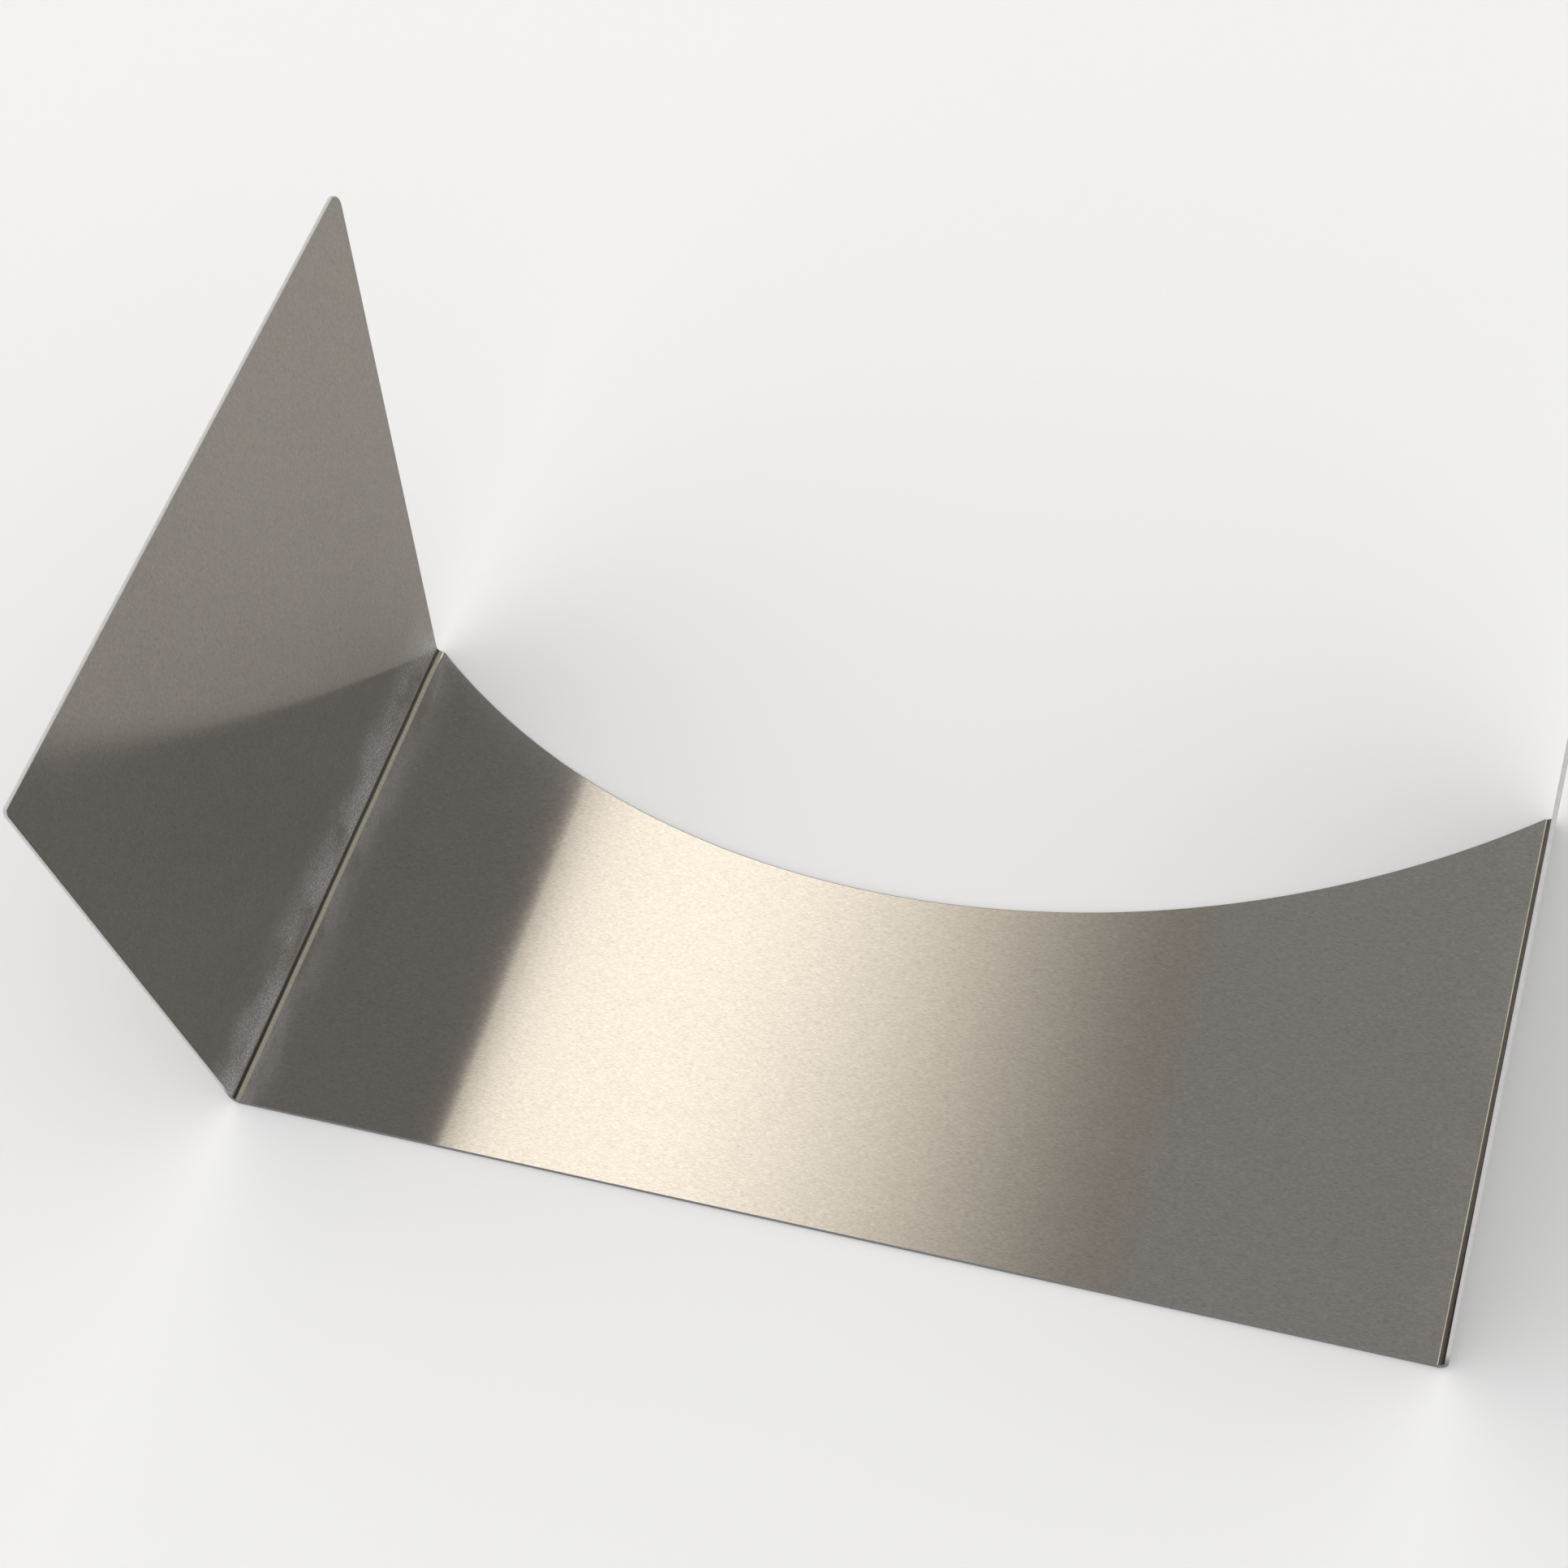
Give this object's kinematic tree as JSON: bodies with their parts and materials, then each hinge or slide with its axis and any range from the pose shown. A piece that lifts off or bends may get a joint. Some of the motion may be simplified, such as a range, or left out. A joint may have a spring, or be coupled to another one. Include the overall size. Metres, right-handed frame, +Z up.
{
  "type": "open chute section",
  "caption": "Open U-shaped chute section folded from brushed stainless sheet: flat bed with one concave end, two side walls whose ends rake outward there.",
  "frame": {"origin": "bottom centre of the box round the part, on the plane of the bed's underside", "axes": "+X across the chute to the right when looking from the straight end, +Y from the straight end to the concave end, +Z up from the bed"},
  "size_m": [0.5144, 0.3102, 0.218],
  "materials": {
    "brushed_stainless": "directional brushed satin, grain across the chute"
  },
  "bodies": {
    "root": {"bed": "brushed_stainless", "left_fold": "brushed_stainless", "left_wall": "brushed_stainless", "right_fold": "brushed_stainless", "right_wall": "brushed_stainless"}
  },
  "joints": []
}
